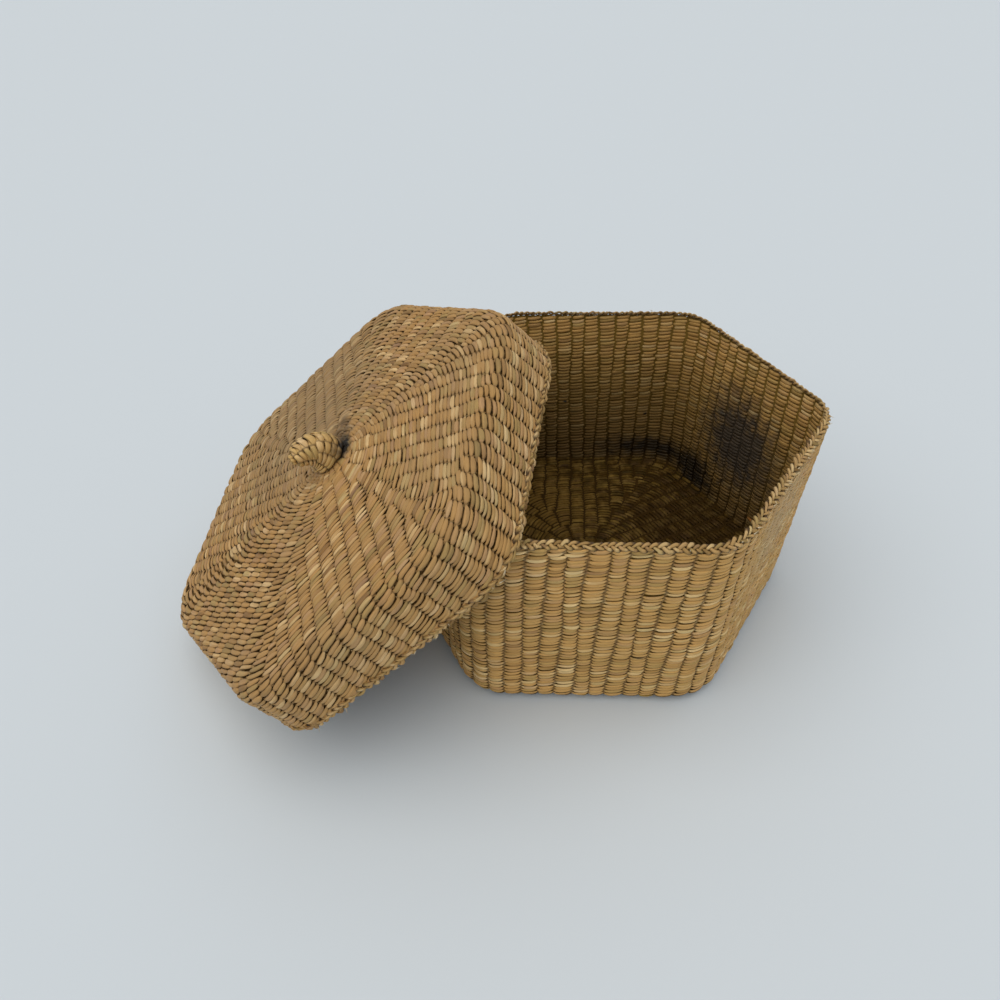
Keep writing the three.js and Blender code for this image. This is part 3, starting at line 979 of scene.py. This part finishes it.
def soft_mark(tree, colour, spot, mark, only=None):
    """Tints the colour round one place; a mark is its middle, reach, tint and amount."""
    centre, reach, tint, amount = mark
    middle = [c * MILLIMETRE for c in centre]
    away = add(tree, "VectorMath", {0: spot, 1: middle}, operation="SUBTRACT").outputs[0]
    shrunk = [1 / (r * MILLIMETRE) for r in reach]
    away = add(tree, "VectorMath", {0: away, 1: shrunk}, operation="MULTIPLY").outputs[0]
    away = add(tree, "VectorMath", {0: away}, operation="LENGTH").outputs["Value"]
    ragged = add(tree, "TexNoise", {"Vector": spot, "Scale": RAGGED, "Detail": 2.0}).outputs["Fac"]
    edge = add(tree, "Math", {0: away, 1: ragged}, operation="ADD").outputs[0]
    return tinted(tree, colour, tint, edge, 1.5, 0.9, amount, only)


print("an edge is ragged every", round(1000 / RAGGED, 1), "mm")

# %% Marks on the basket
# grey-black stain inside, on the right
stain = ((74, 39, 48), (30, 36, 34), "#312c28", 0.9)
# near-black in the crease of the floor: dirt, and painted shade
crease = ((34, 80, 13), (36, 11, 9), "#120b02", 0.9)
crease_end = ((60, 64, 12), (19, 24, 15), "#120b02", 0.93)
# one fresh piece of grass
fresh_piece = ((84, 21, 13), (3, 5, 1.6), "#b5793a", 0.8)
# two small holes inside, painted near-black: painted shade
left_hole = ((-12.7, 82.5, 42.9), (1.6, 3, 1.0), "#0c0804", 0.95)
right_hole = ((31.9, 83.5, 34.8), (1.6, 3, 1.0), "#0c0804", 0.95)
inner_marks = [stain, crease, crease_end, fresh_piece, left_hole, right_hole]
# the right wall, where it faced the light
faded = ((78, -40, 72), (30, 34, 32), "#b8a07a", 0.5)
# painted shade in a gap between two rows of the front wall
split = ((22.3, -85.7, 31.6), (4.5, 3, 0.8), "#1a0f05", 0.95)
floor_marks = [
    ((52, 30, 4), (38, 50, 20), "#2a1802", 0.6),  # the right of the floor is darker
    ((-30, 40, 4), (45, 40, 20), "#8a6a30", 0.4),  # dust at the back on the left
    # painted shade: the next two marks are small holes near the front, painted dark
    ((2, -58, 4), (6, 3, 4), "#150c04", 0.9),  # small dark holes near the front
    ((-12, -52, 4), (4, 3, 4), "#150c04", 0.9),
]
print("marks inside", len(inner_marks), "and on the floor", len(floor_marks))

# %% Marks on the lid
# painted shade where the bent knob has pulled away: a near-black hollow, a darker dip of the crown
# beside it, and the knob's neck, browner and in the shade of its tip
hub_gap = ((-100, -36.5, 99), (5.2, 9.5, 5.5), "#0d0703", 0.97)
hub_shade = ((-104, -26, 98), (8, 16, 7), "#2a1a0b", 0.6)
knob_neck = ((-103, -38, 100), (13, 13, 6), "#6a4c25", 0.35)
# the lid's far side, greyer and darker: partly faded, partly painted shade
lid_faded_and_shaded = ((-135, 10, 85), (70, 75, 60), "#836d4c", 0.5)
lid_marks = [lid_faded_and_shaded, hub_shade, hub_gap]
print("marks on the lid", len(lid_marks))

# %% [markdown]
# ## Tone, dust and painted shade
#
# Every stitch has a tone of its own, which drifts slowly along the strand, and some stems dried
# greenish or pink. Inside the basket the lower part is olive and brown, partly from old dust and
# partly painted shade, and on the floor the dust clots.

# %% Tone of the grass
DRIFT = 0.045  # per millimetre, so a tone drifts over about 22 mm


def grass_tone(tree, strand, own, light, body, dark):
    """Tone of each stitch, drifting slowly along the strand; some stems are green, some pink."""
    slow = add(tree, "VectorMath", {0: strand, 1: (DRIFT, 0.3, 0.3)}, operation="MULTIPLY").outputs[0]
    drift = add(tree, "TexNoise", {"Vector": slow, "Scale": 1.0, "Detail": 1.0}).outputs["Fac"]
    tone = add(tree, "Math", {0: own, 1: drift}, operation="ADD").outputs[0]
    tone = add(tree, "MapRange", {"Value": tone, "From Min": 0.42, "From Max": 1.5}).outputs[0]
    ramp = add(tree, "ValToRGB", {"Fac": tone})
    stops = ramp.color_ramp.elements
    stops[0].position, stops[0].color = 0.05, linear(dark)
    stops[1].position, stops[1].color = 0.95, linear(light)
    for position in (0.4, 0.68):
        stops.new(position).color = linear(body)
    # a multiple of the tone, without its whole number, serves as a second number of chance
    stem = add(tree, "Math", {0: own, 1: 13.7}, operation="MULTIPLY").outputs[0]
    stem = add(tree, "Math", {0: stem}, operation="FRACT").outputs[0]
    colour = tinted(tree, ramp.outputs["Color"], "#8f8a52", stem, 0.7, 1.0, 0.35)
    return tinted(tree, colour, "#b8937a", stem, 0.3, 0.0, 0.3)


print("a tone drifts over", round(1 / DRIFT), "mm")

# %% Dust
CLOTS = 190.0  # per metre, so a clot is about 5 mm, two or three stitches


def dust_and_painted_shade(tree, colour, spot, within, inside):
    """Olive, and brown at the bottom, on faces that look into the basket: old dust, and painted shade."""
    height = add(tree, "SeparateXYZ", {"Vector": spot}).outputs["Z"]
    colour = tinted(tree, colour, "#785d22", height, 0.1, 0.05, inside, within)
    return tinted(tree, colour, "#2b1a02", height, 0.075, 0.004, 0.66, within)


def clotted_dust(tree, colour, spot, dust):
    """Dust that clots in some stitches and leaves others bare."""
    clots = add(tree, "TexNoise", {"Vector": spot, "Scale": CLOTS, "Detail": 2.0}).outputs["Fac"]
    colour = tinted(tree, colour, "#a08246", clots, 0.5, 0.32, dust)
    return tinted(tree, colour, "#140b01", clots, 0.48, 0.63, dust)


print("a clot is", round(1000 / CLOTS, 1), "mm")

# %% [markdown]
# ## Dry seagrass
#
# The colour of a strand is built up as the eye finds it: first the tone of the stitch, with fibres
# running along it, then broad patches, dark edges where strands touch, and shade where they dive
# between the stakes. The fibres are a noise stretched along the strand, and they also give the
# faint relief and the satin that comes and goes.

# %% Seagrass material
FIBRES = (0.2, 3.2, 3.2)  # per millimetre, so a fibre is about 5 mm long and 0.3 mm wide
PATCHES = 28.0  # per metre, so a patch is about 36 mm


def dry_seagrass(
    name, light, body, dark, shade, seam,
    notch=(0.92, 0.92), gloss=0.35, inside=0.0, dust=0.0, marks=(), inner_marks=(),
):
    """Seam is how dark a strand's edges are, and notch how dark it is between two stakes, on its
    outer and its inner face."""
    grass, tree = new_material(name)
    spot = add(tree, "TexCoord", {}).outputs["Object"]
    strand = add(tree, "Attribute", {}, attribute_name="strand").outputs["Vector"]
    stitch = add(tree, "Attribute", {}, attribute_name="stitch").outputs["Vector"]
    own, dip, edge = add(tree, "SeparateXYZ", {"Vector": stitch}).outputs
    outward = add(tree, "SeparateXYZ", {"Vector": strand}).outputs["Y"]
    # one on the face that looks into the bowl, zero on the outer one
    within = add(tree, "MapRange", {"Value": outward, "From Min": 0.12, "From Max": -0.12}).outputs[0]
    fine = add(tree, "VectorMath", {0: strand, 1: FIBRES}, operation="MULTIPLY").outputs[0]
    fibre = add(tree, "TexNoise", {"Vector": fine, "Scale": 1.0, "Detail": 3.0, "Roughness": 0.6})
    fibre = fibre.outputs["Fac"]
    streak = {"Value": fibre, "From Min": 0.3, "From Max": 0.7, "To Min": 0.72, "To Max": 1.12}
    streak = add(tree, "MapRange", streak).outputs[0]
    colour = grass_tone(tree, strand, own, light, body, dark)
    colour = add(tree, "Mix", {0: 1.0, 6: colour, 7: streak}, data_type="RGBA", blend_type="MULTIPLY")
    patch = add(tree, "TexNoise", {"Vector": spot, "Scale": PATCHES, "Detail": 2.0}).outputs["Fac"]
    colour = tinted(tree, colour.outputs[2], shade, patch, 0.35, 0.7, 0.45)
    colour = tinted(tree, colour, "#4a3418", edge, 0.74, 1.0, seam)
    # painted shade where a strand dives between two stakes
    depth = add(tree, "MapRange", {"Value": within, "To Min": notch[0], "To Max": notch[1]}).outputs[0]
    colour = tinted(tree, colour, "#36220b", dip, 0.4, 0.85, depth)
    if inside:
        colour = dust_and_painted_shade(tree, colour, spot, within, inside)
    if dust:
        colour = clotted_dust(tree, colour, spot, dust)
    for mark in marks:
        colour = soft_mark(tree, colour, spot, mark)
    for mark in inner_marks:
        colour = soft_mark(tree, colour, spot, mark, within)
    surface(tree, colour, fibre, smooth=0.5, dull=0.78, relief=0.5, height=0.0003, gloss=gloss)
    return grass


print("a fibre is", round(1 / FIBRES[0], 1), "by", round(1 / FIBRES[1], 2), "mm")

# %% [markdown]
# ## The grasses of this basket
#
# The same grass looks different where it was lit, worn or soiled, so each part has its own. The
# colours of each are its lightest, usual and darkest tone, and the shade of its broad patches.

# %% Grasses
# warm straw, paler at the right; inside it is olive, with dust and painted shade, and its notches hardly
# show
wall_grass = dry_seagrass(
    "twined_seagrass_wall", "#f5d497", "#d3a45f", "#a47a3f", "#ba9555", seam=0.5,
    notch=(0.95, 0.1), inside=0.72, marks=[faded, split], inner_marks=inner_marks,
)
# dull brown, darkened by dust and painted shade, in clots, with hardly any shine
floor_grass = dry_seagrass(
    "dusty_shaded_seagrass_floor", "#dcb252", "#805d1c", "#1d1103", "#4c350a", seam=0.95,
    notch=(0.9, 0.7), gloss=0.1, inside=0.3, dust=0.34, inner_marks=floor_marks,
)
# darker and a little redder than the wall, and greyer and darker on the far side, partly painted shade;
# the skirt is paler
lid_grass = dry_seagrass(
    "twined_seagrass_lid", "#dcb982", "#b2874d", "#7c572b", "#a08256", seam=0.75, marks=lid_marks
)
skirt_grass = dry_seagrass(
    "twined_seagrass_skirt", "#e4c28b", "#bc9054", "#85602f", "#aa8b5d", seam=0.75, marks=lid_marks
)
# finer strands, with dark lines between them; the lid's plait is paler
plait_grass = dry_seagrass(
    "plaited_seagrass_rim", "#d6b780", "#b8925a", "#80602f", "#a88850", seam=0.6, notch=(0.92, 0.5)
)
lid_plait_grass = dry_seagrass(
    "plaited_seagrass_lid_rim", "#e2bf88", "#be9658", "#7c5729", "#ae8b53", seam=0.75
)
# single fibres, bleached nearly white
bleached_fibre = dry_seagrass(
    "bleached_loose_fibre", "#e9dcbf", "#cfbb93", "#a88c5c", "#bda77c", seam=0.1
)
# broad pale leaves that catch the light, brown at the neck, partly painted shade
knob_grass = dry_seagrass(
    "twined_seagrass_knob", "#ecca94", "#cfa968", "#9a7543", "#b6945e", seam=0.6,
    notch=(0.9, 0.65), marks=[knob_neck, hub_gap],
)
print("grasses", [m.name for m in (wall_grass, floor_grass, lid_grass, plait_grass, knob_grass)])

# %% [markdown]
# ## Stakes
#
# The stakes are stouter split stems. They hardly show, only where a strand leaves a gap, and
# their solids already have the right shape, so they stay and only get a grass material that works
# from their place in space.

# %% Stake material
GRAIN = 900.0  # per metre, so the grain is about 1 mm
BROAD = 60.0  # about 17 mm


def split_stem(name, dark, light, on_the_floor=None, marks=()):
    """Dull split stem, darker near the floor of the basket, from dust and painted shade, where that has a
    colour.
    """
    stem, tree = new_material(name)
    spot = add(tree, "TexCoord", {}).outputs["Object"]
    grain = add(tree, "TexNoise", {"Vector": spot, "Scale": GRAIN, "Detail": 3.0}).outputs["Fac"]
    broad = add(tree, "TexNoise", {"Vector": spot, "Scale": BROAD, "Detail": 2.0}).outputs["Fac"]
    mixed = add(tree, "Math", {0: grain, 1: broad}, operation="ADD").outputs[0]
    colour = tinted(tree, linear(dark), light, mixed, 0.6, 1.4)
    if on_the_floor:
        height = add(tree, "SeparateXYZ", {"Vector": spot}).outputs["Z"]
        colour = tinted(tree, colour, on_the_floor, height, 0.05, 0.004)
    for mark in marks:
        colour = soft_mark(tree, colour, spot, mark)
    surface(tree, colour, grain, smooth=0.7, dull=0.95, relief=0.4, height=0.0002, gloss=0.08)
    return stem


# stakes: dusty in the basket and darker near its floor, partly painted shade; cleaner and in the shade
# under the lid
dusty_shaded_stem = split_stem("dusty_shaded_seagrass_stem", "#5c481c", "#7a602b", "#3d2a0b", inner_marks)
shaded_stem = split_stem("split_seagrass_stem", "#4f3a1d", "#7c6038")
# strands squeezed flat between the stakes, dark as painted shade in the gaps: the same dull brown, and
# darker in the lid
dusty_shaded_middle = split_stem("squeezed_dusty_shaded_seagrass", "#584418", "#775d28", "#36250a", inner_marks)
shaded_middle = split_stem("squeezed_seagrass_in_shade", "#2c1e0c", "#523c1b")
for name, stem in (("basket_stakes", dusty_shaded_stem), ("lid_stakes", shaded_stem)):
    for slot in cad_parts[name].material_slots:
        slot.material = stem
    print(name, "dressed with", stem.name)

# %% [markdown]
# ## Joining the pieces to the model
#
# Each finished piece is given its material and the body that it moves with. The solid that it
# stands for is then not shown.

# %% Join pieces to the frame
def finish_piece(piece, material, body, slot, *nodes):
    """Gives a piece its material and body, and hides the solids it stands for."""
    piece.data.materials.clear()
    piece.data.materials.append(material)
    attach(piece, body)
    if nodes:
        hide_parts(*nodes)


for name, piece in twined.items():
    if name.startswith("lid"):
        grass = skirt_grass if "skirt" in name else lid_grass
        finish_piece(piece, grass, "lid", "woven_lid", "lid_weave")
    else:
        grass = floor_grass if "floor" in name else wall_grass
        finish_piece(piece, grass, "basket", "woven_wall", "basket_weave")
finish_piece(basket_middle, dusty_shaded_middle, "basket", "woven_wall", "basket_weave")
finish_piece(lid_middle, shaded_middle, "lid", "woven_lid", "lid_weave")
finish_piece(basket_plait, plait_grass, "basket", "rim_plait", "basket_rim_plait")
finish_piece(lid_plait, lid_plait_grass, "lid", "rim_plait", "lid_rim_plait")
finish_piece(basket_hairs, bleached_fibre, "basket", "rim_plait")
finish_piece(lid_hairs, bleached_fibre, "lid", "rim_plait")
finish_piece(knob, knob_grass, "lid", "woven_knob", "lid_knob")
